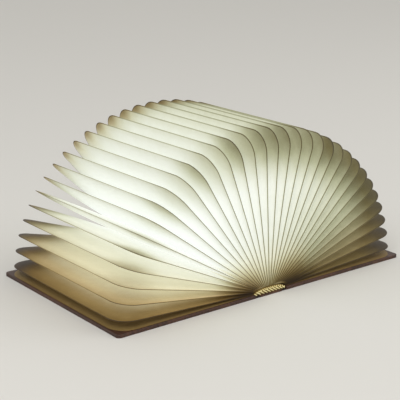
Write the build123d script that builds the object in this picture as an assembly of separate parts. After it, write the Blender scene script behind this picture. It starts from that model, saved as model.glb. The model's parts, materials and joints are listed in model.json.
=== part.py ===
from build123d import *
import math
import os

# Folding book lamp lying open at 180 degrees, millimetres.
# X runs across the open book, Y along its spine (tail at -Y, head at +Y), Z up.
# The origin is at the middle of the spine, on the surface that the book lies on.

# pages: flat pockets of two leaves, joined along tail, fore-edge and head
page_count = 32
page_length = 215.0
page_width = 164.0
page_corner = 21.0
leaf_thickness = 0.2
pocket_gap = 0.2
seam_width = 4.0
page_air = 0.2

# root of the fan: how far each page starts from its own hinge line
edge_reach = 12.9
crown_reach = 8.0
spine_sag = 3.8

# covers
skin_thickness = 0.5
board_thickness = 3.1
board_start = 21.5
cover_overhang = 2.0
cover_corner = 4.0
board_round = 0.6
end_leaf_thickness = 0.35
end_leaf_setback = 0.5
hinge_rise = 0.8

# spine
spine_half_width = 14.5
spine_board_thickness = 1.1
gutter_thickness = 0.6

# light unit: a lipped channel with a domed diffuser clipped on top
tray_half_width = 8.8
tray_wall = 0.9
tray_floor = 0.6
tray_height = 4.3
end_room = 6.0
lip_width = 2.3
lip_thickness = 0.8
diffuser_rise = 2.1
diffuser_wall = 0.7
led_board_thickness = 0.6
led_board_inset = 1.9
led_margin = 5.0
led_pitch = 8.0
led_width = 3.5
led_length = 2.8
led_height = 0.45
cap_thickness = 1.5

# electrics inside the channel
cell_setback = 1.5
cell_length = 92.0
cell_thickness = 2.8
cell_width = 12.0
cell_round = 1.2
control_length = 30.0
control_width = 13.0
control_thickness = 0.6
socket_width = 8.94
socket_height = 3.1
socket_length = 7.35
socket_wall = 0.3
tongue_thickness = 0.7
port_clearance = 0.1
port_half_width = 6.0
port_rise = 0.7
indicator_radius = 0.5
indicator_offset = 5.2
sensor_length = 3.0
sensor_width = 1.6
sensor_height = 1.0

# magnets sunk in the boards
magnet_radius = 4.0
magnet_thickness = 1.5
magnet_edge = 10.0
magnet_spacing = 160.0
trigger_radius = 2.0
trigger_edge = 5.0
magnet_clearance = 0.1

# gathered leaf ends that close the light tunnel at tail and head
gather_clearance = 0.5
gather_pleats = 9
pleat_depth = 0.7
pleat_lean = 35.0

# worked out from the sizes above
page_thickness = 2 * leaf_thickness + pocket_gap
page_pitch = page_thickness + page_air
hinge_spread = page_pitch * (page_count - 1) / 2
cover_top = skin_thickness + board_thickness
hinge_height = cover_top + hinge_rise
cover_edge = hinge_spread + edge_reach + page_width + cover_overhang
cover_length = page_length + 2 * cover_overhang
spine_top = skin_thickness + spine_board_thickness
tray_length = page_length - 2 * end_room
led_count = int((tray_length - 2 * led_margin) / led_pitch) + 1
gather_depth = end_room - cap_thickness - gather_clearance
tray_bed = spine_top + tray_floor
tray_top = spine_top + tray_height
control_y = tray_length / 2 - control_length / 2
tail = -page_length / 2
head = page_length / 2


def slab(low, high):
    """A box between two opposite corners."""
    size = [b - a for a, b in zip(low, high)]
    middle = [(a + b) / 2 for a, b in zip(low, high)]
    return Pos(*middle) * Box(*size)


def across(solid, side):
    """The solid as drawn for the right-hand side, or its mirror image for the left."""
    return solid if side == "right" else mirror(solid, Plane.YZ)


def rounded_sheet(start, end, half_length, low, high, corner):
    """A flat sheet from X start to end, with its two outer corners rounded."""
    sheet = slab((start, -half_length, low), (end, half_length, high))
    outer = sheet.edges().filter_by(Axis.Z).group_by(Axis.X)[-1]
    return fillet(outer, corner)


def fan_angle(number):
    """Angle of a page above the left cover, in degrees."""
    return (number - 0.5) * 180 / page_count


def page_hinge(number):
    """Where a page's hinge line lies, as X and Z."""
    lift = math.sin(math.radians(fan_angle(number))) ** 2
    return -hinge_spread + (number - 1) * page_pitch, hinge_height - spine_sag * lift


def page_reach(number):
    """Distance from a page's hinge line to its root edge."""
    spread = math.cos(math.radians(fan_angle(number))) ** 2
    return crown_reach + (edge_reach - crown_reach) * spread


def page(number):
    """One pocket: two leaves with a seam round three sides, open to the light at its root."""
    angle = math.radians(fan_angle(number))
    start = page_reach(number)
    end = start + page_width
    half = page_thickness / 2
    pocket = rounded_sheet(start, end, page_length / 2, -half, half, page_corner)
    inside = rounded_sheet(
        start - seam_width,
        end - seam_width,
        page_length / 2 - seam_width,
        -pocket_gap / 2,
        pocket_gap / 2,
        page_corner - seam_width,
    )
    x, z = page_hinge(number)
    outward = (-math.cos(angle), 0, math.sin(angle))
    facing = (-math.sin(angle), 0, -math.cos(angle))
    return Plane(origin=(x, 0, z), x_dir=outward, z_dir=facing) * (pocket - inside)


def end_leaf():
    """The last leaf, glued flat on the cover."""
    return rounded_sheet(
        board_start + end_leaf_setback,
        cover_edge - cover_overhang,
        page_length / 2,
        cover_top,
        cover_top + end_leaf_thickness,
        page_corner,
    )


def magnet_places():
    """The two cover magnets, near the fore-edge."""
    x = cover_edge - magnet_edge
    return [(x, y, cover_top - magnet_thickness) for y in (-magnet_spacing / 2, magnet_spacing / 2)]


def trigger_place():
    """The small magnet by the gutter that tells the sensor whether the book is open."""
    return (board_start + trigger_edge, control_y, cover_top - magnet_thickness)


def disc(place, radius, thickness):
    """A disc standing on a place."""
    return Pos(*place) * Cylinder(radius, thickness, align=(Align.CENTER, Align.CENTER, Align.MIN))


def cover_board(side):
    """Stiff board with eased top edges and blind holes for its magnets."""
    half = cover_length / 2
    board = rounded_sheet(board_start, cover_edge, half, skin_thickness, cover_top, cover_corner)
    rim = board.faces().sort_by(Axis.Z)[-1].edges().sort_by(Axis.X)[1:]
    board = fillet(rim, board_round)
    for place in magnet_places():
        board -= disc(place, magnet_radius + magnet_clearance, magnet_thickness)
    if side == "left":
        board -= disc(trigger_place(), trigger_radius + magnet_clearance, magnet_thickness)
    return across(board, side)


def cover_skin():
    """Thin outer face of a cover."""
    return rounded_sheet(board_start, cover_edge, cover_length / 2, 0, skin_thickness, cover_corner)


def cover_magnets():
    """Discs that hold the covers shut, or back to back."""
    return [disc(place, magnet_radius, magnet_thickness) for place in magnet_places()]


def gutter():
    """Flexible strip between the spine and a cover board."""
    half = cover_length / 2
    return slab(
        (spine_half_width, -half, skin_thickness),
        (board_start, half, skin_thickness + gutter_thickness),
    )


def spine_sheet(low, high):
    """A sheet as wide as the spine."""
    half = cover_length / 2
    return slab((-spine_half_width, -half, low), (spine_half_width, half, high))


def dome(half_width, rise, base):
    """A low round arch standing on a level, as a face across the spine."""
    foot = (-half_width, 0, base)
    other_foot = (half_width, 0, base)
    arch = ThreePointArc(foot, (0, 0, base + rise), other_foot)
    return make_face([arch, Line(other_foot, foot)])


def along_spine(section, length, middle=0.0):
    """A section drawn at Y = 0, drawn out along the spine."""
    return Pos(0, middle - length / 2, 0) * extrude(section, length, dir=(0, 1, 0))


def led_tray():
    """Channel with two inward lips that carry the strip of lamps."""
    half = tray_length / 2
    inner = tray_half_width - tray_wall
    outside = slab((-tray_half_width, -half, spine_top), (tray_half_width, half, tray_top))
    room = slab((-inner, -half, tray_bed), (inner, half, tray_top - lip_thickness))
    mouth = slab((lip_width - inner, -half, tray_bed), (inner - lip_width, half, tray_top))
    return outside - room - mouth


def led_diffuser():
    """Thin dome that spreads the light, standing on the channel's walls."""
    shell = dome(tray_half_width, diffuser_rise, tray_top)
    shell -= dome(tray_half_width - diffuser_wall, diffuser_rise - diffuser_wall, tray_top)
    return along_spine(shell, tray_length)


def led_board():
    """Strip of circuit board on the lips."""
    half_width = tray_half_width - tray_wall - led_board_inset
    half = tray_length / 2
    return slab((-half_width, -half, tray_top), (half_width, half, tray_top + led_board_thickness))


def led_chips():
    """Row of lamps on the strip."""
    base = tray_top + led_board_thickness
    row = GridLocations(0, led_pitch, 1, led_count)
    chip = Box(led_width, led_length, led_height, align=(Align.CENTER, Align.CENTER, Align.MIN))
    return [Pos(0, 0, base) * place * chip for place in row]


def tray_cap():
    """Plug that closes the channel at the tail."""
    end = -tray_length / 2
    box = slab((-tray_half_width, end - cap_thickness, spine_top), (tray_half_width, end, tray_top))
    return box + along_spine(
        dome(tray_half_width, diffuser_rise, tray_top), cap_thickness, end - cap_thickness / 2
    )


def battery_pack():
    """Flat cell lying in the channel."""
    start = -tray_length / 2 + cell_setback
    cell = slab(
        (-cell_width / 2, start, tray_bed),
        (cell_width / 2, start + cell_length, tray_bed + cell_thickness),
    )
    return fillet(cell.edges().filter_by(Axis.Y), cell_round)


def control_board():
    """Small circuit board at the head end of the channel."""
    return slab(
        (-control_width / 2, control_y - control_length / 2, tray_bed),
        (control_width / 2, control_y + control_length / 2, tray_bed + control_thickness),
    )


def socket_shape(grow, low_y, high_y):
    """Rounded slot shape of the charging socket, grown by a margin."""
    width = socket_width + 2 * grow
    height = socket_height + 2 * grow
    level = tray_bed + control_thickness + socket_height / 2
    block = Pos(0, (low_y + high_y) / 2, level) * Box(width, high_y - low_y, height)
    return fillet(block.edges().filter_by(Axis.Y), height / 2 - socket_wall)


def usb_socket():
    """Charging socket on the control board, its mouth level with the port block."""
    inner_end = head - socket_length
    shell = socket_shape(0, inner_end, head)
    mouth = socket_shape(-socket_wall, inner_end + socket_wall, head)
    level = tray_bed + control_thickness + socket_height / 2
    tongue_half = socket_width / 2 - 4 * socket_wall
    tongue = slab(
        (-tongue_half, inner_end, level - tongue_thickness / 2),
        (tongue_half, head - 2 * socket_wall, level + tongue_thickness / 2),
    )
    return shell - mouth + tongue


def indicator_place():
    """Where the charge light shows, beside the socket."""
    return indicator_offset + indicator_radius / 2, tray_bed + control_thickness + socket_height


def port_block():
    """Block at the head that carries the charging socket and its light."""
    low = tray_length / 2
    top = tray_top + port_rise
    block = slab((-port_half_width, low, spine_top), (port_half_width, head, top))
    block = fillet(block.edges().filter_by(Axis.Y).group_by(Axis.Z)[-1], port_rise)
    block -= socket_shape(port_clearance, low - port_clearance, head + port_clearance)
    return block - indicator(port_clearance)


def indicator(grow=0.0):
    """Light pipe through the port block."""
    x, z = indicator_place()
    low = tray_length / 2
    pipe = Cylinder(indicator_radius + grow, head - low)
    return Pos(x, (head + low) / 2, z) * Rot(90, 0, 0) * pipe


def opening_sensor():
    """Sensor on the control board that finds the magnet of the left cover."""
    edge = -control_width / 2
    base = tray_bed + control_thickness
    return slab(
        (edge, control_y - sensor_length / 2, base),
        (edge + sensor_width, control_y + sensor_length / 2, base + sensor_height),
    )


def pleat_grooves(outer_y):
    """Slanted grooves between the gathered leaves, cut from the outer face."""
    step = board_start / gather_pleats
    cutter = Rot(0, 0, 45) * Box(pleat_depth, pleat_depth, 2 * board_start)
    return [
        Pos((number + 0.5) * step, outer_y, spine_top) * Rot(0, -pleat_lean, 0) * cutter
        for number in range(gather_pleats)
    ]


def gather(side, end):
    """Half of the gathered leaf ends, a low arch over the end of the light unit."""
    rise = page_hinge(page_count // 2)[1] + crown_reach - page_thickness - gather_clearance - spine_top
    outer_y = tail if end == "tail" else head
    middle = outer_y + (gather_depth / 2 if end == "tail" else -gather_depth / 2)
    arch = along_spine(dome(board_start, rise, spine_top), gather_depth, middle)
    half = split(arch, Plane.YZ)
    for groove in pleat_grooves(outer_y):
        half -= groove
    if end == "head":
        width = port_half_width + port_clearance
        half -= slab(
            (-width, tray_length / 2, 0),
            (width, head + gather_depth, tray_top + port_rise + port_clearance),
        )
    return across(half, side)


def save(name, shape):
    """Write one sub-part."""
    solid = Compound(children=list(shape)) if isinstance(shape, list) else shape
    export_step(solid, f"parts/{name}.step")


def main():
    os.makedirs("parts", exist_ok=True)
    for number in range(1, page_count + 1):
        save(f"page_{number:02d}", page(number))
    for side in ("left", "right"):
        save(f"end_leaf_{side}", across(end_leaf(), side))
        save(f"cover_board_{side}", cover_board(side))
        save(f"cover_skin_{side}", across(cover_skin(), side))
        save(f"cover_magnets_{side}", [across(magnet, side) for magnet in cover_magnets()])
        save(f"gutter_{side}", across(gutter(), side))
        for end in ("tail", "head"):
            save(f"gather_{end}_{side}", gather(side, end))
    save("trigger_magnet", across(disc(trigger_place(), trigger_radius, magnet_thickness), "left"))
    save("spine_skin", spine_sheet(0, skin_thickness))
    save("spine_board", spine_sheet(skin_thickness, spine_top))
    save("led_tray", led_tray())
    save("led_diffuser", led_diffuser())
    save("led_board", led_board())
    save("led_chips", led_chips())
    save("tray_cap", tray_cap())
    save("battery_pack", battery_pack())
    save("control_board", control_board())
    save("usb_socket", usb_socket())
    save("port_block", port_block())
    save("charge_indicator", indicator())
    save("opening_sensor", opening_sensor())


main()
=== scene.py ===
import json
import math
import bmesh
import bpy
from mathutils import Matrix, Vector, noise


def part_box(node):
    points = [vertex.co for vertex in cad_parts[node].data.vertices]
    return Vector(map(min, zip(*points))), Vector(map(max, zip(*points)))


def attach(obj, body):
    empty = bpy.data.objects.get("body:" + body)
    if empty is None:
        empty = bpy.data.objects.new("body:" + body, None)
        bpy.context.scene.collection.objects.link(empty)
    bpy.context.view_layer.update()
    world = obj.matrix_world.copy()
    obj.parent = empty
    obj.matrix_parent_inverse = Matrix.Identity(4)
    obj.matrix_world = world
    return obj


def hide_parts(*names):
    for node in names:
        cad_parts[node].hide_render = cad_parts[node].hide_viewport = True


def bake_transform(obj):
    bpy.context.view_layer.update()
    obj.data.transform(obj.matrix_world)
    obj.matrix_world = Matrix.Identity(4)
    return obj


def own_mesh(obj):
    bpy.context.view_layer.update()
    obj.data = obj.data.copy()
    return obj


# Folding book lamp lying open. Shapes are worked out in millimetres, X across the book, Y along
# the spine with the tail at -Y, Z up, and written in metres.

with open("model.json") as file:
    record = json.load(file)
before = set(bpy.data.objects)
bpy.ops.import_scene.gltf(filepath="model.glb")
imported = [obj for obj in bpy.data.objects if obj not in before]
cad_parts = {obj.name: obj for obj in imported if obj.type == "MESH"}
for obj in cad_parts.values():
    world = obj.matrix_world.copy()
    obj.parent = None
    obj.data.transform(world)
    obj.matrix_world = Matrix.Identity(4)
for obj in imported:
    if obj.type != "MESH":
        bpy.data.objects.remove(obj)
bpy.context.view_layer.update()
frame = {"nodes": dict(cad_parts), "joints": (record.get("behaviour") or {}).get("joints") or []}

mm = 0.001
joints = {joint["name"]: joint for joint in frame["joints"]}


def nodeBox(name):
    # lowest and highest corner of a CAD node at rest, in millimetres
    low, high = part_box(name)
    return [value / mm for value in low], [value / mm for value in high]


def sideBox(name, side):
    # the way a node of one cover lies from the spine, its nearest and farthest X, and its corners
    low, high = nodeBox(name)
    inner, outer = sorted((abs(low[0]), abs(high[0])))
    return (-1 if side == "left" else 1), inner, outer, low, high


def toLinear(hexColour):
    # "#rrggbb" in sRGB to the linear colour that a shader socket takes
    channels = [int(hexColour[start:start + 2], 16) / 255 for start in (1, 3, 5)]
    linear = [c / 12.92 if c <= 0.04045 else ((c + 0.055) / 1.055) ** 2.4 for c in channels]
    return (*linear, 1.0)


def smoothStep(low, high, value):
    # eased share of the way from low to high; with the higher number first it falls instead
    share = min(1.0, max(0.0, (value - low) / (high - low)))
    return share * share * (3 - 2 * share)


def mixed(first, second, share):
    return first + (second - first) * share


def feed(tree, node, inputs):
    # an input given as a node or a socket is linked, any other value is set on the socket itself
    for key, value in inputs.items():
        if isinstance(value, bpy.types.Node):
            value = value.outputs[0]
        if isinstance(value, bpy.types.NodeSocket):
            tree.links.new(value, node.inputs[key])
        else:
            node.inputs[key].default_value = value


def addNode(tree, kind, settings=None, inputs=None):
    # settings are the node's own properties, inputs its values and what feeds it
    node = tree.nodes.new(kind)
    for key, value in (settings or {}).items():
        setattr(node, key, value)
    feed(tree, node, inputs or {})
    return node


def setRamp(node, stops):
    # stops is a list of (place, hex colour)
    ramp = node.color_ramp
    while len(ramp.elements) < len(stops):
        ramp.elements.new(0.5)
    for element, (place, colour) in zip(ramp.elements, stops):
        element.position = place
        element.color = toLinear(colour)
    return node


def newMaterial(name):
    material = bpy.data.materials.new(name)
    material.use_nodes = True
    tree = material.node_tree
    return material, tree, tree.nodes["Principled BSDF"]


def meshPiece(name, points, faces, material, attributes=None, smooth=True, sharpAngle=40):
    # a closed mesh object at the origin, its points given in millimetres
    mesh = bpy.data.meshes.new(name)
    mesh.from_pydata([tuple(value * mm for value in point) for point in points], [], faces)
    for key, values in (attributes or {}).items():
        layer = mesh.attributes.new(key, "FLOAT", "POINT")
        layer.data.foreach_set("value", values)
    edit = bmesh.new()
    edit.from_mesh(mesh)
    bmesh.ops.recalc_face_normals(edit, faces=edit.faces)
    edit.to_mesh(mesh)
    edit.free()
    mesh.polygons.foreach_set("use_smooth", [smooth] * len(mesh.polygons))
    if smooth:
        mesh.set_sharp_from_angle(angle=math.radians(sharpAngle))
    mesh.materials.append(material)
    piece = bpy.data.objects.new(name, mesh)
    bpy.context.scene.collection.objects.link(piece)
    return piece


def shellFaces(index, lastColumn, lastRow):
    # faces of two grids, one over the other, and of the wall round them; index gives the number of
    # the point at (side, column, row), where side is 1 or -1
    faces = []
    for side in (1, -1):
        for i in range(lastColumn):
            for j in range(lastRow):
                corners = [(i, j), (i + 1, j), (i + 1, j + 1), (i, j + 1)]
                faces.append([index[side, *corner] for corner in corners[::side]])
    rim = [(0, j) for j in range(lastRow)] + [(i, lastRow) for i in range(lastColumn)]
    rim += [(lastColumn, j) for j in range(lastRow, 0, -1)] + [(i, 0) for i in range(lastColumn, 0, -1)]
    for here, there in zip(rim, rim[1:] + rim[:1]):
        wall = dict.fromkeys([index[1, *here], index[1, *there], index[-1, *there], index[-1, *here]])
        if len(wall) > 2:                       # no wall where the grids share their rim
            faces.append(list(wall))
    return faces


studio = {
    "cameraPlace": (-736.8, -930.9, 425.2),
    "cameraHeading": 0.6637,       # radians from +Y towards +X
    "cameraDip": 0.2859,           # radians below the horizon
    "cameraRoll": 0.0027,
    "cameraLens": 102.03,          # mm on a sensor 36 mm wide
    "sensorWidth": 36.0,
    "nearFar": (0.01, 100.0),      # metres
    "floorColour": "#dcdad5",
    "floorRoughness": 0.9,
    "floorSize": 40000.0,
    "floorDrop": 0.05,             # mm under the lamp, so that the two faces don't flicker
    "roomColour": "#f2f1ee",       # what lights the lamp
    "roomLight": 0.74,
    "backdropColour": "#e9e7e2",   # what the camera and the reflections see
    "softLights": {                # place and width in metres, power in watts
        "softKey": {"place": (-1.5, -1.3, 1.9), "width": 1.6, "power": 27.0},
        "softFill": {"place": (1.7, -1.2, 1.2), "width": 1.8, "power": 10.0},
    },
    "lightTarget": (0, 0, 0.06),
}


def makeCamera():
    data = bpy.data.cameras.new("viewCamera")
    data.lens = studio["cameraLens"]
    data.sensor_width = studio["sensorWidth"]
    data.clip_start, data.clip_end = studio["nearFar"]
    camera = bpy.data.objects.new("viewCamera", data)
    heading, dip = studio["cameraHeading"], studio["cameraDip"]
    forward = Vector((
        math.sin(heading) * math.cos(dip),
        math.cos(heading) * math.cos(dip),
        -math.sin(dip),
    ))
    level = Vector((math.cos(heading), -math.sin(heading), 0.0))
    upward = level.cross(forward)
    roll = studio["cameraRoll"]
    right = level * math.cos(roll) + upward * math.sin(roll)
    top = upward * math.cos(roll) - level * math.sin(roll)
    turn = Matrix((right, top, -forward)).transposed()
    place = Vector(studio["cameraPlace"]) * mm
    camera.matrix_world = Matrix.Translation(place) @ turn.to_4x4()
    bpy.context.scene.collection.objects.link(camera)
    bpy.context.scene.camera = camera


def makeFloor():
    material, tree, shader = newMaterial("paleFloor")
    colour = toLinear(studio["floorColour"])
    feed(tree, shader, {"Base Color": colour, "Roughness": studio["floorRoughness"]})
    half, level = studio["floorSize"] / 2, -studio["floorDrop"]
    corners = [(-half, -half, level), (half, -half, level), (half, half, level), (-half, half, level)]
    floor = meshPiece("paleFloor", corners, [(0, 1, 2, 3)], material, smooth=False)


def makeSoftLight(name, light):
    data = bpy.data.lights.new(name, "AREA")
    data.shape = "DISK"
    data.size = light["width"]
    data.energy = light["power"]
    lamp = bpy.data.objects.new(name, data)
    lamp.location = light["place"]
    sight = Vector(studio["lightTarget"]) - Vector(light["place"])
    lamp.rotation_euler = sight.to_track_quat("-Z", "Y").to_euler()
    bpy.context.scene.collection.objects.link(lamp)


def makeWorld():
    world = bpy.data.worlds.new("paleRoom")
    bpy.context.scene.world = world
    world.use_nodes = True
    tree = world.node_tree
    room = tree.nodes["Background"]
    feed(tree, room, {"Color": toLinear(studio["roomColour"]), "Strength": studio["roomLight"]})
    seen = addNode(tree, "ShaderNodeBackground", None, {
        "Color": toLinear(studio["backdropColour"]), "Strength": 1.0})
    path = addNode(tree, "ShaderNodeLightPath").outputs
    direct = addNode(tree, "ShaderNodeMath", {"operation": "MAXIMUM"}, {
        0: path["Is Camera Ray"], 1: path["Is Glossy Ray"]})
    either = addNode(tree, "ShaderNodeMath", {"operation": "MAXIMUM"}, {
        0: direct, 1: path["Is Transmission Ray"]})
    blend = addNode(tree, "ShaderNodeMixShader", None, {0: either, 1: room, 2: seen})
    feed(tree, tree.nodes["World Output"], {"Surface": blend})


bpy.context.scene.view_settings.view_transform = "Standard"
makeCamera()
makeFloor()
makeWorld()
for name, light in studio["softLights"].items():
    makeSoftLight(name, light)
print("camera, floor and light made")


paperLook = {
    "fibreSpacing": 1.6,           # mm between the swirled fibre bundles
    "cloudSpacing": 9.0,           # mm across the thicker and thinner clouds of the web
    "fibreShare": 0.12,            # how much each changes the light that comes through
    "cloudShare": 0.07,
    "roughness": (0.55, 0.72),
    "bumpHeight": 0.05,            # mm
    "sheen": 0.05,
    "ior": 1.5,
    # colours from little light coming through to all of it: ivory paper and warm tan, both darkened as
    # painted shade where little light passes, and what it emits
    "ivoryAndShade": [(0.12, "#37301a"), (0.30, "#69643f"), (0.45, "#929479"), (0.60, "#b4b79e"),
              (0.80, "#d5d7ca"), (1.0, "#e4e5e2")],
    "tan": [(0.12, "#33220a"), (0.30, "#765e2a"), (0.45, "#9c8450"), (0.60, "#b9a173"),
            (0.80, "#d9cea4"), (1.0, "#e8e3c6")],
    "emitted": [(0.12, "#0e0802"), (0.30, "#2b200c"), (0.45, "#423b26"), (0.60, "#5c5a48"),
                (0.80, "#7c7e78"), (1.0, "#8e9090")],
}


def makePaper():
    # flash-spun polyethylene paper, bonded by hot rollers: matt and faintly waxy, with swirled white
    # fibre bundles in the sheet that show as cloudy mottling where light comes through
    material, tree, shader = newMaterial("spunbondPaperLit")
    place = addNode(tree, "ShaderNodeTexCoord").outputs["Object"]
    glow, shadeWarmth, shine = [
        addNode(tree, "ShaderNodeAttribute", {"attribute_name": key}).outputs["Fac"]
        for key in ("glow", "shadeWarmth", "shine")]
    swirl = addNode(tree, "ShaderNodeTexNoise", None, {
        "Vector": place, "Scale": 1 / (paperLook["fibreSpacing"] * mm), "Detail": 5.0,
        "Roughness": 0.62, "Distortion": 1.8}).outputs["Fac"]
    cloud = addNode(tree, "ShaderNodeTexNoise", None, {
        "Vector": place, "Scale": 1 / (paperLook["cloudSpacing"] * mm), "Detail": 3.0,
        "Roughness": 0.5}).outputs["Fac"]
    fibreDrift = addNode(tree, "ShaderNodeMath", {"operation": "MULTIPLY_ADD"}, {
        0: swirl, 1: paperLook["fibreShare"], 2: -paperLook["fibreShare"] / 2})
    cloudDrift = addNode(tree, "ShaderNodeMath", {"operation": "MULTIPLY_ADD"}, {
        0: cloud, 1: paperLook["cloudShare"], 2: -paperLook["cloudShare"] / 2})
    drift = addNode(tree, "ShaderNodeMath", {"operation": "ADD"}, {0: fibreDrift, 1: cloudDrift})
    passed = addNode(tree, "ShaderNodeMath", {"operation": "ADD", "use_clamp": True}, {
        0: glow, 1: drift})
    sent = addNode(tree, "ShaderNodeMath", {"operation": "ADD", "use_clamp": True}, {
        0: shine, 1: drift})
    # the base colour is painted shade: the less light the glow attribute passes, the darker the paper,
    # and a second attribute turns that painted shade warm tan
    ivoryAndShade = setRamp(addNode(tree, "ShaderNodeValToRGB", None, {"Fac": passed}), paperLook["ivoryAndShade"])
    tan = setRamp(addNode(tree, "ShaderNodeValToRGB", None, {"Fac": passed}), paperLook["tan"])
    emitted = setRamp(addNode(tree, "ShaderNodeValToRGB", None, {"Fac": sent}), paperLook["emitted"])
    base = addNode(tree, "ShaderNodeMixRGB", None, {"Fac": shadeWarmth, "Color1": ivoryAndShade, "Color2": tan})
    waxy, matt = paperLook["roughness"]
    rough = addNode(tree, "ShaderNodeMapRange", None, {"Value": swirl, "To Min": matt, "To Max": waxy})
    bump = addNode(tree, "ShaderNodeBump", None, {
        "Height": swirl, "Strength": 0.6, "Distance": paperLook["bumpHeight"] * mm})
    feed(tree, shader, {
        "Base Color": base, "Emission Color": emitted, "Emission Strength": 1.0, "Roughness": rough,
        "Normal": bump, "IOR": paperLook["ior"], "Sheen Weight": paperLook["sheen"]})
    return material


litPaper = makePaper()
print("paper made")


pageFan = {
    "count": 32,
    "length": 215.0,
    "width": 164.0,
    "corner": 21.0,
    "leafHalf": 0.3,               # half of the flat pocket's thickness
    "edgeReach": 12.9,
    "crownReach": 8.0,
    "seamInset": 0.4,              # the swelling starts this far inside the welded rim
    "rootInset": 0.3,
    "rootTuck": 3.4,               # mm that the leaf ends reach in over the gathered ends
    "tuckLength": 6.0,             # mm of the tail and head that do so
    "rimLift": 0.125,              # how steeply a swollen leaf rises from its seam
    "rimBead": 0.35,               # mm that it has risen just inside the seam
    "beadWidth": 0.8,
    "touchGap": 0.12,              # air left on each side where neighbours touch
    "middleGap": 0.35,             # more air between the two halves of the fan
    "leastRoom": 0.3,
    "touchEase": 4,                # higher for a sharper bend where a leaf meets its neighbour
    "slack": 0.10,                 # share by which the swelling is uneven
    "slackSpacing": 34.0,
    "slackInset": (2, 20),         # mm from the seam over which the unevenness comes in
    "slackShift": 3.1,             # gives each page its own unevenness
    "columns": 40,
    "rows": 34,
    "columnCrowding": 1.6,         # above 1 the grid is finer towards the seams
    "rowCrowding": 1.9,
}

# light that a spot of a page passes; angle is the page's, 0 on the left cover to 180 on the right one,
# across runs from -107 at the tail to 107 at the head, and pairs of levels are for a page lying on its
# cover and for an upright one
pageLight = {
    "lowLevel": 0.73,              # of the page on its cover
    "fullFrom": 29.0,              # degrees from which a page gets full light
    "turnedFrom": 70.0,            # degrees from which inner faces darken towards the right cover
    "turnedSpan": 107.0,
    "turnedLoss": 0.69,
    "rootLevel": (0.22, 0.74),     # in the shadow of the channel's lips
    "rootShadow": (62.0, 34.0),    # mm that the shadow reaches
    "rootStart": -8.0,
    "tipLoss": (0.22, 0.56),
    "tipAngles": (50, 105),        # degrees over which it goes from the first to the second
    "farTipLoss": 0.14,            # on top, towards the right cover
    "farTipAngles": (112, 150),
    "headCornerLoss": 0.42,
    "middleShare": 0.36,           # the tips darken less half way between tail and head
    "middleAcross": (45, 107),
    "tipShadow": (64, 100),        # mm that it reaches in from the tip, and in the low head corners
    # the welded rim is darker, partly for the thicker weld and partly as painted shade of the groove
    # behind it, most at tail and head
    "weldShadeLevel": (0.42, 0.66),     # of the welded rim, at tail and head and away from them
    "weldAcross": (0, 55),
    "weldWidth": (0.4, 2.4),
    "seamShine": 0.84,
    "shineInset": (0, 22),
    # pages whose tail corners take the painted deepCorner shadow, and how much of it
    "cornerShadePages": {4: 0.7, 5: 1.0, 8: 0.6, 11: 0.8, 14: 1.0, 16: 0.6, 17: 0.5, 18: 0.4, 22: 1.0},
}

# soft shadows on the pages: light lost, and where each comes in, from its outer limit to its full depth
pageShadows = {
    "deepCorner": (0.34, {"toTip": (44, 0), "across": (-52, -107)}),
    "seam": (0.08, {"toEdge": (8, 0)}),
    "headSeam": (0.42, {"toTip": (19, 0), "across": (78, 98), "angle": (25, 50)}),
    "underside": (0.46, {"angle": (12, 3), "toEdge": (28, 0)}),
    "lowTip": (0.24, {"angle": (34, 22), "across": (-30, 50)}),
    "headCorner": (1.0, {"across": (30, 107), "angle": (50, 20)}),
}

# where the pages' painted shade turns warm tan instead of staying ivory
pageShadeWarmth = {
    "leftAngles": (33, 3),         # degrees over which the pages turn tan towards each cover
    "rightAngles": (146, 177),
    "rightShare": 0.55,
    "cornerShare": 0.85,
    "cornerTip": (34, 2),
    "cornerAcross": (62, 107),
    "tailCorner": 0.08,            # of what the head corners have
    "farCornerLoss": 0.7,
    "farCornerAngles": (95, 140),
    "rootShares": (0.95, 0.7),     # at the roots of the left and of the right half
    "uprightRoot": 0.42,
    "rootSpan": (58, 8),
}


def fanAngle(number):
    return math.radians((number - 0.5) * 180 / pageFan["count"])


def pageReach(number):
    spread = math.cos(fanAngle(number)) ** 2
    return mixed(pageFan["crownReach"], pageFan["edgeReach"], spread)


def pageFrame(number):
    # hinge line, the way out along the page and the way up from its lower face, in X and Z
    if number in (0, pageFan["count"] + 1):     # the end leaves stand for the outer neighbours
        _, high = nodeBox("end_leaf_left")
        way = -1 if number == 0 else 1
        return Vector((0.0, high[2])), Vector((way, 0.0)), Vector((0.0, -way))
    place = joints[f"page_{number:02d}_fold"]["pos_m"]
    angle = fanAngle(number)
    hinge = Vector((place[0] / mm, place[2] / mm))
    return hinge, Vector((-math.cos(angle), math.sin(angle))), Vector((math.sin(angle), math.cos(angle)))


def touchLine(number, neighbour):
    # room beside a page up to half way to its neighbour: (slope, distance where it starts)
    hinge, out, _ = pageFrame(number)
    otherHinge, otherOut, _ = pageFrame(neighbour)
    gap = otherHinge - hinge
    turn = out.x * otherOut.y - out.y * otherOut.x
    start = (gap.x * otherOut.y - gap.y * otherOut.x) / turn
    angle = abs(math.asin(max(-1.0, min(1.0, turn))))
    if neighbour in (0, pageFan["count"] + 1):
        return math.tan(angle), start
    return math.tan(angle / 2), start


def leafGrid(columns, rows):
    # shares of the way out from the root, and of the way from the middle to tail (-) and head (+)
    out = [1 - (1 - step / columns) ** pageFan["columnCrowding"] for step in range(columns + 1)]
    half = rows // 2
    headward = [1 - (1 - step / half) ** pageFan["rowCrowding"] for step in range(half + 1)]
    return out, [-share for share in reversed(headward)] + headward[1:]


def outline(inset):
    # width, half length and corner radius of the pocket, drawn in by a distance
    return (
        pageFan["width"] - inset,
        pageFan["length"] / 2 - inset,
        pageFan["corner"] - inset,
    )


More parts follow.
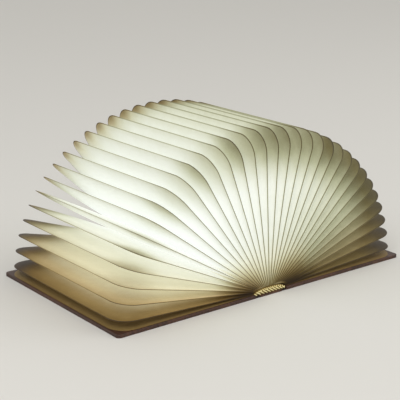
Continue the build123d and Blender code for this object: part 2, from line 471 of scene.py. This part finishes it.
def halfLengthAt(along, shape):
    width, half, corner = shape
    past = max(0.0, along - (width - corner))
    return half - corner + math.sqrt(max(0.0, corner ** 2 - past ** 2))


def widthAt(across, shape):
    width, half, corner = shape
    past = max(0.0, abs(across) - (half - corner))
    return width - corner + math.sqrt(max(0.0, corner ** 2 - past ** 2))


def softNear(edgeAlong, edgeAcross):
    # distance to the seam, eased where the two edges are equally near
    return 1 / math.sqrt(1 / max(edgeAlong, 0.01) ** 2 + 1 / max(edgeAcross, 0.01) ** 2)


def shadow(name, spot):
    # light that one of the page shadows takes from a spot
    loss, limits = pageShadows[name]
    for key, (outer, full) in limits.items():
        loss *= smoothStep(outer, full, spot[key])
    return loss


def fanGlow(number, side, along, across, toEdge):
    # how much lamp light a spot passes, 0 to 1: most deep in the upright pockets, least at the tips,
    # towards the covers, and at the roots of the low pockets, in the shadow of the channel's lips. The
    # same value darkens the paper's colour as painted shade.
    light = pageLight
    angle = math.degrees(fanAngle(number))
    if side == 1:
        angle = min(angle, 180 - angle)         # the right half's outer faces mirror the left half's
    upright = math.sin(math.radians(angle))
    toTip = pageFan["width"] - along
    spot = {"angle": angle, "across": across, "toTip": toTip, "toEdge": toEdge}
    level = mixed(light["lowLevel"], 1.0, min(1.0, angle / light["fullFrom"]))
    if angle > light["turnedFrom"]:
        turned = (angle - light["turnedFrom"]) / light["turnedSpan"]
        level = 1.0 - light["turnedLoss"] * turned ** 2
    reached = mixed(*light["rootShadow"], upright)
    dim = mixed(*light["rootLevel"], upright)
    root = mixed(dim, 1.0, smoothStep(light["rootStart"], reached, along))
    headCorner = shadow("headCorner", spot)
    drop = mixed(*light["tipLoss"], smoothStep(*light["tipAngles"], angle))
    drop += light["farTipLoss"] * smoothStep(*light["farTipAngles"], angle)
    drop += shadow("lowTip", spot) + light["headCornerLoss"] * headCorner
    drop *= mixed(light["middleShare"], 1.0, smoothStep(*light["middleAcross"], abs(across)))
    tip = 1 - drop * smoothStep(mixed(*light["tipShadow"], headCorner), 0, toTip)
    deep = 1 - shadow("deepCorner", spot) * light["cornerShadePages"].get(number, 0.0)
    rim = (1 - shadow("seam", spot)) * (1 - shadow("headSeam", spot))
    return level * root * tip * deep * rim * (1 - shadow("underside", spot))


def warmShadeShare(number, along, across):
    # 0 where the painted shade stays ivory, 1 where it turns warm tan: low pockets, roots, and the outer
    # corners, where little lamp light reaches
    angle = math.degrees(fanAngle(number))
    left = smoothStep(*pageShadeWarmth["leftAngles"], angle)
    right = pageShadeWarmth["rightShare"] * smoothStep(*pageShadeWarmth["rightAngles"], angle)
    corner = pageShadeWarmth["cornerShare"] * smoothStep(*pageShadeWarmth["cornerTip"], pageFan["width"] - along)
    corner *= smoothStep(*pageShadeWarmth["cornerAcross"], abs(across))
    if across > 0:
        corner *= 1 - pageShadeWarmth["farCornerLoss"] * smoothStep(*pageShadeWarmth["farCornerAngles"], angle)
    else:
        corner *= pageShadeWarmth["tailCorner"]
    lowRoot = pageShadeWarmth["rootShares"][0 if angle < 90 else 1]
    root = mixed(lowRoot, pageShadeWarmth["uprightRoot"], math.sin(math.radians(angle)) ** 3)
    return max(left, right, corner, root * smoothStep(*pageShadeWarmth["rootSpan"], along))


def pocketMesh(number, shape, start, lift, sealed):
    # two leaves on one grid, joined along tail, fore-edge and head, closed at the root
    hinge, out, up = pageFrame(number)
    reach = pageReach(number)
    width = shape[0]
    columns, rows = leafGrid(pageFan["columns"], pageFan["rows"])
    lastColumn, lastRow = len(columns) - 1, len(rows) - 1
    points, glow, shadeWarmth, shine, index = [], [], [], [], {}
    for side in (1, -1):
        for i, outward in enumerate(columns):
            for j, share in enumerate(rows):
                onRim = i == lastColumn or j in (0, lastRow)
                if side == -1 and onRim:
                    index[side, i, j] = index[1, i, j]
                    continue
                inner = start(share * shape[1])
                along = inner + outward * (width - inner)
                half = halfLengthAt(along, shape)
                across = share * half
                edgeAlong = max(0.0, widthAt(across, shape) - along)
                edgeAcross = max(0.0, half - abs(across))
                near = softNear(edgeAlong, edgeAcross)
                height = 0.0 if onRim else side * lift(side, along, across, near)
                x = hinge.x + out.x * (reach + along) + up.x * height
                z = hinge.y + out.y * (reach + along) + up.y * height
                index[side, i, j] = len(points)
                points.append((x, across, z))
                light = fanGlow(number, side, along, across, near)
                # darker welded rim: the thicker weld and painted shade of the groove behind it
                if sealed:                      # the weld passes less light, least at tail and head
                    toEnd = pageFan["length"] / 2 - abs(across)
                    weld = mixed(*pageLight["weldShadeLevel"], smoothStep(*pageLight["weldAcross"], toEnd))
                    light *= mixed(weld, 1.0, smoothStep(*pageLight["weldWidth"], near))
                glow.append(light)
                inside = smoothStep(*pageLight["shineInset"], near)
                shine.append(light * mixed(pageLight["seamShine"], 1.0, inside))
                shadeWarmth.append(warmShadeShare(number, along, across))
    faces = shellFaces(index, lastColumn, lastRow)
    return points, faces, {"glow": glow, "shadeWarmth": shadeWarmth, "shine": shine}


def makePage(number):
    name = f"page_{number:02d}"
    body = name + "_pocket"
    touchLines = {1: touchLine(number, number + 1), -1: touchLine(number, number - 1)}
    middle = pageFan["count"] // 2
    reach = pageReach(number)

    def swell(side, along, across, near):
        # rises from the seam and closes in on the half-way surface to the next pocket
        slope, start = touchLines[side]
        gap = pageFan["touchGap"]
        if (number, side) in ((middle, 1), (middle + 1, -1)):
            gap += pageFan["middleGap"]
        room = max(pageFan["leastRoom"], slope * (reach + along - start) - gap)
        bead = 1 - math.exp(-near / pageFan["beadWidth"])
        rise = pageFan["rimLift"] * near + pageFan["rimBead"] * bead
        spot = (along / pageFan["slackSpacing"], across / pageFan["slackSpacing"],
                number * pageFan["slackShift"] + side)
        uneven = pageFan["slack"] * noise.noise(Vector(spot))
        rise *= 1 + uneven * smoothStep(*pageFan["slackInset"], near)
        ease = pageFan["touchEase"]
        return (rise ** -ease + room ** -ease) ** (-1 / ease)

    def flat(side, along, across, near):
        half = pageFan["leafHalf"]
        step = min(1.0, near / half)
        return half * math.sqrt(1 - (1 - step) ** 2)

    def straightRoot(across):
        return 0.0

    def tuckedRoot(across):
        tuck = min(pageFan["rootTuck"], reach - pageFan["crownReach"])
        toEnd = pageFan["length"] / 2 - abs(across)
        return pageFan["rootInset"] - tuck * smoothStep(
            pageFan["tuckLength"], pageFan["tuckLength"] / 2, toEnd)

    points, faces, tones = pocketMesh(number, outline(0.0), straightRoot, flat, True)
    sheet = meshPiece(name + "_leaf", points, faces, litPaper, tones)
    points, faces, tones = pocketMesh(number, outline(pageFan["seamInset"]), tuckedRoot, swell, False)
    pillow = meshPiece(name + "_swelling", points, faces, litPaper, tones)
    for piece in (sheet, pillow):
        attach(piece, body)
    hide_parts(name)
    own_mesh(pillow)


for number in range(1, pageFan["count"] + 1):
    makePage(number)
print("pages made:", pageFan["count"])


endLeaf = {
    "columns": 46,
    "rows": 50,
    "corner": 21.0,
    "slack": 0.12,                 # mm by which the glued sheet is uneven
    "slackSpacing": 30.0,
    "slackShift": 7.7,
    "edgeWidth": 0.3,              # mm over which the edge is eased down
    "edgeDrop": 0.1,
    "edgeStart": 0.3,
    # painted light and shade of the end leaf's colour: darker tan at its edge and towards the root,
    # where less of the lamp's light falls on it
    "glow": (0.34, 0.5),           # at the edge and inside it
    "glowInset": (0, 40),
    "rootGlow": 0.5,
    "rootShadow": (0, 45),
}


def makeEndLeaf(side):
    name = f"end_leaf_{side}"
    way, inner, outer, low, high = sideBox(name, side)
    shape = (outer - inner, high[1], endLeaf["corner"])
    out, rows = leafGrid(endLeaf["columns"], endLeaf["rows"])
    points, glow, index = [], [], {}
    for face in (1, -1):
        for i, outward in enumerate(out):
            along = outward * shape[0]
            half = halfLengthAt(along, shape)
            for j, share in enumerate(rows):
                across = share * half
                toEdge = min(shape[0] - along, half - abs(across))
                step = min(1.0, toEdge / endLeaf["edgeWidth"] + endLeaf["edgeStart"])
                ease = 1 - math.sqrt(1 - (1 - step) ** 2)
                spot = (along / endLeaf["slackSpacing"], across / endLeaf["slackSpacing"],
                        endLeaf["slackShift"] * way)
                thin = endLeaf["slack"] * (0.5 + 0.5 * noise.noise(Vector(spot)))
                level = high[2] - thin - ease * endLeaf["edgeDrop"] if face == 1 else low[2]
                index[face, i, j] = len(points)
                points.append((way * (inner + along), across, level))
                # painted shade: the glow value only darkens the end leaf's warm tan colour
                light = mixed(*endLeaf["glow"], smoothStep(*endLeaf["glowInset"], toEdge))
                shade = mixed(endLeaf["rootGlow"], 1.0, smoothStep(*endLeaf["rootShadow"], along))
                glow.append(light * shade)
    faces = shellFaces(index, len(out) - 1, len(rows) - 1)
    piece = meshPiece(name + "_sheet", points, faces, litPaper,
                      {"glow": glow, "shadeWarmth": [1.0] * len(glow), "shine": [0.0] * len(glow)})
    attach(piece, f"{side}_cover")
    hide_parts(name)


for side in ("left", "right"):
    makeEndLeaf(side)
print("end leaves made")


gutterCloth = {
    "columns": 14,
    "rows": 120,
    "creases": 2,
    "creaseDepth": 0.12,
    "threadSpacing": 0.9,          # mm, about twice that of real book cloth, so that it shows
    "shades": ("#1d1210", "#3d2a24"),
    "bumpHeight": 0.1,
}


def makeCloth():
    # starched cotton book cloth, plain weave: dull dark threads, lighter where they cross
    material, tree, shader = newMaterial("bookClothDark")
    place = addNode(tree, "ShaderNodeTexCoord").outputs["Object"]
    waves = 2 * math.pi / 20 / (gutterCloth["threadSpacing"] * mm)   # scale 20 is one wave in 2 pi
    threads = [
        addNode(tree, "ShaderNodeTexWave", {
            "wave_type": "BANDS", "bands_direction": direction, "wave_profile": "SIN",
        }, {"Vector": place, "Scale": waves, "Distortion": 0.4}).outputs["Fac"]
        for direction in ("X", "Y")]
    weave = addNode(tree, "ShaderNodeMath", {"operation": "MULTIPLY"}, {0: threads[0], 1: threads[1]})
    colour = setRamp(addNode(tree, "ShaderNodeValToRGB", None, {"Fac": weave}),
                     list(zip((0.0, 1.0), gutterCloth["shades"])))
    bump = addNode(tree, "ShaderNodeBump", None, {
        "Height": weave, "Strength": 0.7, "Distance": gutterCloth["bumpHeight"] * mm})
    feed(tree, shader, {"Base Color": colour, "Normal": bump, "Roughness": 0.85, "IOR": 1.5})
    return material


bookCloth = makeCloth()


def makeGutter(side):
    name = f"gutter_{side}"
    way, inner, outer, low, high = sideBox(name, side)
    lastColumn, lastRow = gutterCloth["columns"], gutterCloth["rows"]
    points, index = [], {}
    for face in (1, -1):
        for i in range(lastColumn + 1):
            x = mixed(inner, outer, i / lastColumn)
            wave = math.cos((x - inner) / (outer - inner) * gutterCloth["creases"] * 2 * math.pi)
            drop = gutterCloth["creaseDepth"] * (0.5 - 0.5 * wave)
            level = high[2] - drop if face == 1 else low[2]
            for j in range(lastRow + 1):
                index[face, i, j] = len(points)
                points.append((way * x, mixed(low[1], high[1], j / lastRow), level))
    piece = meshPiece(name + "_cloth", points, shellFaces(index, lastColumn, lastRow), bookCloth)
    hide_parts(name)
    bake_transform(piece)


for side in ("left", "right"):
    makeGutter(side)
print("gutters made")


gather = {
    "pleats": 5,
    "pleatWidth": 1.6,             # mm across a pleat
    "pleatDepth": 0.85,            # how far a pleat stands out of the end face
    "pleatLean": 57.0,             # degrees from upright
    "pleatMiddle": 0.38,           # height of its middle, as a share of the arch's height
    "pleatLength": 0.84,           # half of its length, as the same share
    "rollLobes": 8,
    "rollSize": 1.05,              # half thickness of the turned-over edge
    "rollShape": (1.35, 0.74, 0.72),   # of a lobe along the edge, out of it and up, by rollSize
    "rollLean": 52.0,
    "fullness": 2.9,               # 2 for an ellipse, more for a squarer arch
    "archSteps": 36,
    "leastRise": 0.3,
    "slopeStep": 0.5,              # mm over which the arch's slope is taken
    "ballSegments": 14,
    "pleatRings": 10,
    "lobeRings": 8,
    "blockGap": (0.15, 0.12),      # mm of air beside and over the port block
    "blockMargin": 1.2,            # mm beside the port block that stay without folds
    "keepWidth": 0.55,             # share of the width left when the book is shut
    "fibreShare": 0.35,            # how much the fibres change the colour, and what is taken off again
    "fibreOffset": -0.17,
    # painted shade from dark yellow in the valleys to ivory on the crests, and a glow that is weaker in
    # the valleys
    "colours": [(0.0, "#7a6228"), (0.45, "#b59c55"), (0.8, "#ddce90"), (1.0, "#e8deac")],
    "emitted": [(0.3, "#0a0802"), (1.0, "#554c28")],
}


def makeGatherPaper():
    # the same spunbonded paper, gathered and pressed while warm: ivory on the crests, and yellower and
    # darker in the valleys as painted shade, where several leaves lie over each other
    material, tree, shader = newMaterial("spunbondPaperGathered")
    place = addNode(tree, "ShaderNodeTexCoord").outputs["Object"]
    fibres = addNode(tree, "ShaderNodeTexNoise", None, {
        "Vector": place, "Scale": 1 / (paperLook["fibreSpacing"] * mm), "Detail": 4.0,
        "Distortion": 1.2}).outputs["Fac"]
    crestLight = addNode(tree, "ShaderNodeAttribute", {"attribute_name": "crestLight"}).outputs["Fac"]
    spread = addNode(tree, "ShaderNodeMath", {"operation": "MULTIPLY_ADD"}, {
        0: fibres, 1: gather["fibreShare"], 2: gather["fibreOffset"]})
    tone = addNode(tree, "ShaderNodeMath", {"operation": "ADD", "use_clamp": True}, {
        0: crestLight, 1: spread})
    colour = setRamp(addNode(tree, "ShaderNodeValToRGB", None, {"Fac": tone}), gather["colours"])
    emitted = setRamp(addNode(tree, "ShaderNodeValToRGB", None, {"Fac": tone}), gather["emitted"])
    bump = addNode(tree, "ShaderNodeBump", None, {
        "Height": fibres, "Strength": 0.5, "Distance": paperLook["bumpHeight"] * mm})
    feed(tree, shader, {
        "Base Color": colour, "Emission Color": emitted, "Emission Strength": 1.0, "Normal": bump,
        "Roughness": 0.6, "IOR": paperLook["ior"]})
    return material


gatherPaper = makeGatherPaper()


def archSums(x, height):
    # the sums that give the arch's height over the place called x
    return [
        (height + "Share", "DIVIDE", x, "Half Width"),
        (height + "Bend", "POWER", height + "Share", "Fullness"),
        (height + "Left", "SUBTRACT", 1.0, height + "Bend"),
        (height + "Root", "SQRT", height + "Left"),
        (height, "MULTIPLY", "Rise", height + "Root"),
    ]


# each sum has its own name, an operation and its terms: group inputs, earlier sums or plain numbers
rowSums = [
    ("order", "ADD", "Index", 0.5),
    ("share", "DIVIDE", "order", "Count"),
    ("room", "SUBTRACT", "Half Width", "Clear Width"),
    ("run", "MULTIPLY", "share", "room"),
    ("x", "ADD", "Clear Width", "run"),
    ("placeX", "MULTIPLY", "x", "Side"),
    *archSums("x", "height"),
]
pleatSums = [
    ("lift", "MULTIPLY", "height", gather["pleatMiddle"]),
    ("placeZ", "ADD", "Foot", "lift"),
    ("halfWide", "MULTIPLY", "Pleat Width", 0.5),
    ("halfLong", "MULTIPLY", "height", gather["pleatLength"]),
]
lobeSums = [
    ("lift", "SUBTRACT", "height", "Lobe Size"),
    ("placeZ", "ADD", "Foot", "lift"),
    ("nearerX", "SUBTRACT", "x", gather["slopeStep"] * mm),
    *archSums("nearerX", "nearerHeight"),
    ("fall", "SUBTRACT", "nearerHeight", "height"),
    ("slope", "DIVIDE", "fall", gather["slopeStep"] * mm),
    ("steep", "ARCTANGENT", "slope"),
    ("steepSide", "MULTIPLY", "steep", "Side"),
    ("turn", "ADD", "steepSide", "Lobe Lean"),
    *[(name, "MULTIPLY", "Lobe Size", share)
      for name, share in zip(("lobeLong", "lobeDeep", "lobeHigh"), gather["rollShape"])],
]


def foldRow(tree, given, count, sums, turn, scale, rings):
    # a row of stretched balls along the arch; count, turn and scale name group inputs or sums
    known = {socket.name: socket for socket in given}
    known["Count"] = known[count]
    known["Index"] = addNode(tree, "GeometryNodeInputIndex")
    for name, operation, *terms in rowSums + sums:
        inputs = {slot: known.get(term, term) for slot, term in enumerate(terms)}
        known[name] = addNode(tree, "ShaderNodeMath", {"operation": operation}, inputs)
    line = addNode(tree, "GeometryNodeMeshLine", {"mode": "OFFSET"}, {"Count": known["Count"]})
    spot = addNode(tree, "ShaderNodeCombineXYZ", None, {
        "X": known["placeX"], "Y": known["Face Y"], "Z": known["placeZ"]})
    placed = addNode(tree, "GeometryNodeSetPosition", None, {"Geometry": line, "Position": spot})
    ball = addNode(tree, "GeometryNodeMeshUVSphere", None, {
        "Segments": gather["ballSegments"], "Rings": rings, "Radius": 1.0})
    lean = addNode(tree, "ShaderNodeCombineXYZ", None, {"Y": known[turn]})
    rotation = addNode(tree, "FunctionNodeEulerToRotation", None, {"Euler": lean})
    stretch = addNode(tree, "ShaderNodeCombineXYZ", None, {
        axis: known[name] for axis, name in zip("XYZ", scale)})
    return addNode(tree, "GeometryNodeInstanceOnPoints", None, {
        "Points": placed, "Instance": ball, "Rotation": rotation, "Scale": stretch})


def makePleatTree():
    # adds slanted pleats and a turned-over lobed edge to the plain arch it is given
    tree = bpy.data.node_groups.new("gatherPleats", "GeometryNodeTree")
    sockets = {"Geometry": "Geometry", "Pleat Count": "Int", "Lobe Count": "Int"}
    for name in ("Side", "Clear Width", "Half Width", "Rise", "Foot", "Face Y", "Pleat Width",
                 "Pleat Depth", "Pleat Lean", "Lobe Size", "Lobe Lean", "Fullness"):
        sockets[name] = "Float"
    sockets["Paper"] = "Material"
    for name, kind in sockets.items():
        tree.interface.new_socket(name, in_out="INPUT", socket_type="NodeSocket" + kind)
    tree.interface.new_socket("Geometry", in_out="OUTPUT", socket_type="NodeSocketGeometry")
    given = addNode(tree, "NodeGroupInput").outputs
    pleats = foldRow(tree, given, "Pleat Count", pleatSums, "Pleat Lean",
                     ("halfWide", "Pleat Depth", "halfLong"), gather["pleatRings"])
    lobes = foldRow(tree, given, "Lobe Count", lobeSums, "turn",
                    ("lobeLong", "lobeDeep", "lobeHigh"), gather["lobeRings"])
    joined = addNode(tree, "GeometryNodeJoinGeometry")
    for source in (given["Geometry"], pleats, lobes):
        feed(tree, joined, {0: source})
    real = addNode(tree, "GeometryNodeRealizeInstances", None, {"Geometry": joined})
    smooth = addNode(tree, "GeometryNodeSetShadeSmooth", None, {0: real})
    painted = addNode(tree, "GeometryNodeSetMaterial", None, {
        "Geometry": smooth, "Material": given["Paper"]})
    addNode(tree, "NodeGroupOutput", None, {0: painted})
    return tree


pleatTree = makePleatTree()


def makeArch(name, way, foot, rise, halfWidth, outerY, innerY, notch):
    # half of a low arch; notch is (half width, level) of the room for the port block
    profile = []
    for step in range(gather["archSteps"] + 1):
        share = math.sin(step / gather["archSteps"] * math.pi / 2)
        height = rise * math.sqrt(1 - share ** gather["fullness"])
        profile.append((halfWidth * share, foot + max(height, gather["leastRise"])))
    if notch:
        profile += [(halfWidth, foot), (notch[0], foot), notch, (0.0, notch[1])]
    else:
        profile += [(halfWidth, foot), (0.0, foot)]
    count = len(profile)
    points = [(way * x, y, z) for y in (outerY, innerY) for x, z in profile]
    faces = [list(range(count)), list(range(2 * count - 1, count - 1, -1))]
    for here in range(count):
        there = (here + 1) % count
        faces.append([here, there, count + there, count + here])
    return meshPiece(name, points, faces, gatherPaper, smooth=False)


def makeGather(end, side):
    node = f"gather_{end}_{side}"
    low, high = nodeBox(node)
    way = -1 if side == "left" else 1
    inward = 1 if end == "tail" else -1
    outerY, innerY = (low[1], high[1])[::inward]
    faceY = outerY + inward * gather["pleatDepth"]
    halfWidth, foot, rise = high[0] - low[0], low[2], high[2] - low[2]
    notch, clear = None, 0.0
    if end == "head":
        _, blockHigh = nodeBox("port_block")
        beside, over = gather["blockGap"]
        notch = (blockHigh[0] + beside, blockHigh[2] + over)
        clear = blockHigh[0] + gather["blockMargin"]
    piece = makeArch(node + "_folds", way, foot, rise, halfWidth, faceY, innerY, notch)
    pleats = piece.modifiers.new("pleats", "NODES")
    pleats.node_group = pleatTree
    sockets = {item.name: item.identifier for item in pleatTree.interface.items_tree
               if item.in_out == "INPUT"}
    values = {
        "Pleat Count": gather["pleats"], "Lobe Count": gather["rollLobes"], "Side": float(way),
        "Clear Width": clear * mm, "Half Width": halfWidth * mm, "Rise": rise * mm,
        "Foot": foot * mm, "Face Y": faceY * mm, "Pleat Width": gather["pleatWidth"] * mm,
        "Pleat Depth": gather["pleatDepth"] * mm,
        "Pleat Lean": -inward * math.radians(gather["pleatLean"]),
        "Lobe Size": gather["rollSize"] * mm,
        "Lobe Lean": inward * math.radians(gather["rollLean"]),
        "Fullness": gather["fullness"], "Paper": gatherPaper,
    }
    for name, value in values.items():
        pleats[sockets[name]] = value
    depsgraph = bpy.context.evaluated_depsgraph_get()
    made = bpy.data.meshes.new_from_object(piece.evaluated_get(depsgraph))
    piece.modifiers.remove(pleats)
    piece.data = made
    # painted shade and light: 0 in the valleys, 1 near a fold's top
    crestLight = made.attributes.new("crestLight", "FLOAT", "POINT")     # 0 in the valleys, 1 near a fold's top
    crestLight.data.foreach_set("value", [
        smoothStep(-0.1, gather["pleatDepth"] * 0.9, inward * (faceY - vertex.co.y / mm))
        for vertex in made.vertices])
    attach(piece, "spine")
    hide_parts(node)
    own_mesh(piece)


for end in ("tail", "head"):
    for side in ("left", "right"):
        makeGather(end, side)
print("gathered leaf ends made")


def dress(names, material):
    # CAD nodes that stay as they are get their material in each slot
    for name in names:
        for slot in frame["nodes"][name].material_slots:
            slot.material = material


def streaked(tree, spacing, detail=4.0, distortion=0.0):
    # noise with its own spacing along X, Y and Z, in millimetres
    place = addNode(tree, "ShaderNodeTexCoord").outputs["Object"]
    stretch = addNode(tree, "ShaderNodeMapping", None, {
        "Vector": place, "Scale": [1 / (length * mm) for length in spacing]})
    return addNode(tree, "ShaderNodeTexNoise", None, {
        "Vector": stretch, "Scale": 1.0, "Detail": detail, "Distortion": distortion}).outputs["Fac"]


walnut = {
    "pieces": ["cover_board_left", "cover_board_right", "cover_skin_left", "cover_skin_right",
               "spine_board", "spine_skin"],
    "grain": (3.2, 120.0, 3.2),    # mm along X, Y and Z
    "pores": (0.5, 9.0, 0.5),      # about twice as wide as real ones, so that they show
    "figure": (26.0, 190.0, 26.0),
    "grainShare": 0.65,
    "colours": [(0.32, "#23130d"), (0.45, "#3a2117"), (0.56, "#4d2e1f"), (0.7, "#5d3a28")],
    "poreShades": [(0.34, "#868686"), (0.46, "#ffffff")],
    "roughness": (0.58, 0.42),
    "bumpHeight": 0.06,
}


def makeVeneer():
    # black walnut veneer on fibreboard, sanded and oiled: dark red-brown with straight darker grain
    # along the book's height, short open pores, and a low satin sheen
    material, tree, shader = newMaterial("walnutVeneerOiled")
    grain = streaked(tree, walnut["grain"], 6.0, 0.6)
    pores = streaked(tree, walnut["pores"], 2.0)
    figure = streaked(tree, walnut["figure"], 2.0, 0.3)
    tone = addNode(tree, "ShaderNodeMath", {"operation": "MULTIPLY"}, {
        0: grain, 1: walnut["grainShare"]})
    both = addNode(tree, "ShaderNodeMath", {"operation": "MULTIPLY_ADD"}, {
        0: figure, 1: 1 - walnut["grainShare"], 2: tone})
    wood = setRamp(addNode(tree, "ShaderNodeValToRGB", None, {"Fac": both}), walnut["colours"])
    shade = setRamp(addNode(tree, "ShaderNodeValToRGB", None, {"Fac": pores}), walnut["poreShades"])
    colour = addNode(tree, "ShaderNodeMixRGB", {"blend_type": "MULTIPLY"}, {
        "Fac": 1.0, "Color1": wood, "Color2": shade})
    gloss = addNode(tree, "ShaderNodeMapRange", None, {
        "Value": grain, "To Min": walnut["roughness"][0], "To Max": walnut["roughness"][1]})
    bump = addNode(tree, "ShaderNodeBump", None, {
        "Height": shade, "Strength": 0.6, "Distance": walnut["bumpHeight"] * mm})
    feed(tree, shader, {"Base Color": colour, "Roughness": gloss, "Normal": bump, "IOR": 1.5})
    return material


dress(walnut["pieces"], makeVeneer())


circuitBoard = {
    "masks": {                     # CAD node, colour of its mask, and the paler one over the tracks
        "glassEpoxyWhiteMask": ("led_board", "#e6e5df", "#d4cfbd"),
        "glassEpoxyGreenMask": ("control_board", "#12432a", "#2a6b43"),
    },
    "trackWidth": 0.25,            # mm
    "trackLength": 3.1,
    "trackSpacing": 1.3,
    "bumpHeight": 0.03,
}


def makeTraces(name, maskColour, trackColour):
    # glass-epoxy circuit board with glossy solder mask: copper tracks show through a shade paler
    material, tree, shader = newMaterial(name)
    mask, track = toLinear(maskColour), toLinear(trackColour)
    place = addNode(tree, "ShaderNodeTexCoord").outputs["Object"]
    tracks = addNode(tree, "ShaderNodeTexBrick", {"offset": 0.3}, {
        "Vector": place, "Scale": 1.0, "Color1": mask, "Color2": mask, "Mortar": track,
        "Mortar Size": circuitBoard["trackWidth"] * mm,
        "Brick Width": circuitBoard["trackLength"] * mm,
        "Row Height": circuitBoard["trackSpacing"] * mm})
    bump = addNode(tree, "ShaderNodeBump", None, {
        "Height": tracks.outputs["Fac"], "Strength": 0.4,
        "Distance": circuitBoard["bumpHeight"] * mm})
    feed(tree, shader, {"Base Color": tracks, "Normal": bump, "Roughness": 0.3, "IOR": 1.55})
    return material


for name, (node, maskColour, trackColour) in circuitBoard["masks"].items():
    dress([node], makeTraces(name, maskColour, trackColour))


# spacing and bumpHeight are in millimetres, spacing along X, Y and Z
finishes = {
    # extruded aluminium, natural anodised: pale satin metal with faint die lines along its length
    "aluminiumExtruded": {
        "pieces": ["led_tray"],
        "shades": ("#b9bbbd", "#cfd1d2"), "spacing": (0.25, 90.0, 0.25), "roughness": (0.3, 0.42),
        "bumpHeight": 0.01, "shader": {"Metallic": 1.0}},
    # extruded opal polycarbonate: milky, evenly bright when the lamps behind it are on
    "opalPolycarbonate": {
        "pieces": ["led_diffuser"],
        "shades": ("#e9e0c4", "#f1ead2"), "spacing": (0.4, 40.0, 0.4), "roughness": (0.32, 0.42),
        "bumpHeight": 0.005, "glow": "#b7a877", "shader": {"IOR": 1.585}},
    # silicone filled with yellow phosphor over the lamp chips: egg-yolk yellow, wet-looking
    "phosphorSilicone": {
        "pieces": ["led_chips"],
        "shades": ("#efb93a", "#f6d468"), "spacing": (0.3, 0.3, 0.3), "roughness": (0.12, 0.22),
        "glow": "#c9a24a", "shader": {"IOR": 1.41}},
    # injection-moulded ABS, spark-eroded mould: black with an even fine grain that breaks up highlights
    "absMouldedBlack": {
        "pieces": ["tray_cap", "port_block"],
        "shades": ("#0e0e10", "#1b1b1e"), "spacing": (0.35, 0.35, 0.35), "roughness": (0.42, 0.6),
        "bumpHeight": 0.03, "shader": {"IOR": 1.54}},
    # aluminium laminate pouch: dull silver foil with soft creases
    "aluminiumLaminate": {
        "pieces": ["battery_pack"],
        "shades": ("#a9abb0", "#c6c8cc"), "spacing": (6.0, 9.0, 6.0), "roughness": (0.28, 0.5),
        "detail": 5.0, "distortion": 0.7, "bumpHeight": 0.35, "shader": {"Metallic": 0.9}},
    # stainless steel, drawn and nickel plated: smooth warm silver with faint draw lines
    "steelDrawnNickelled": {
        "pieces": ["usb_socket"],
        "shades": ("#a39d92", "#beb8ac"), "spacing": (0.15, 12.0, 0.15), "roughness": (0.18, 0.3),
        "bumpHeight": 0.004, "shader": {"Metallic": 1.0}},
    # sintered neodymium magnet, nickel plated and tumbled: bright with fine orange-peel
    "neodymiumNickelled": {
        "pieces": ["cover_magnets_left", "cover_magnets_right", "trigger_magnet"],
        "shades": ("#b5b2aa", "#cbc8c0"), "spacing": (0.5, 0.5, 0.5), "roughness": (0.14, 0.28),
        "bumpHeight": 0.006, "shader": {"Metallic": 1.0}},
    # transfer-moulded epoxy of a chip: near black, matt, with a sandy skin
    "epoxyMouldedChip": {
        "pieces": ["opening_sensor"],
        "shades": ("#121314", "#202123"), "spacing": (0.12, 0.12, 0.12), "roughness": (0.5, 0.7),
        "bumpHeight": 0.006, "shader": {"IOR": 1.55}},
    # clear polycarbonate light pipe, moulded: slightly green glassy rod, diffusing inside
    "polycarbonateLightPipe": {
        "pieces": ["charge_indicator"],
        "shades": ("#cfe3c8", "#dfeed9"), "spacing": (0.5, 1.0, 0.5), "roughness": (0.06, 0.12),
        "shader": {"IOR": 1.585}},
}


def makeFinish(name, look):
    # a surface whose colour, gloss and relief follow one streaked or mottled pattern
    material, tree, shader = newMaterial(name)
    pattern = streaked(tree, look["spacing"], look.get("detail", 4.0), look.get("distortion", 0.0))
    colour = setRamp(addNode(tree, "ShaderNodeValToRGB", None, {"Fac": pattern}),
                     list(zip((0.3, 0.7), look["shades"])))
    gloss = addNode(tree, "ShaderNodeMapRange", None, {
        "Value": pattern, "To Min": look["roughness"][0], "To Max": look["roughness"][1]})
    feed(tree, shader, {"Base Color": colour, "Roughness": gloss, **look["shader"]})
    if "bumpHeight" in look:
        bump = addNode(tree, "ShaderNodeBump", None, {
            "Height": pattern, "Strength": 0.7, "Distance": look["bumpHeight"] * mm})
        feed(tree, shader, {"Normal": bump})
    if "glow" in look:
        feed(tree, shader, {"Emission Color": toLinear(look["glow"]), "Emission Strength": 1.0})
    return material


for name, look in finishes.items():
    dress(look["pieces"], makeFinish(name, look))
print("CAD pieces finished")
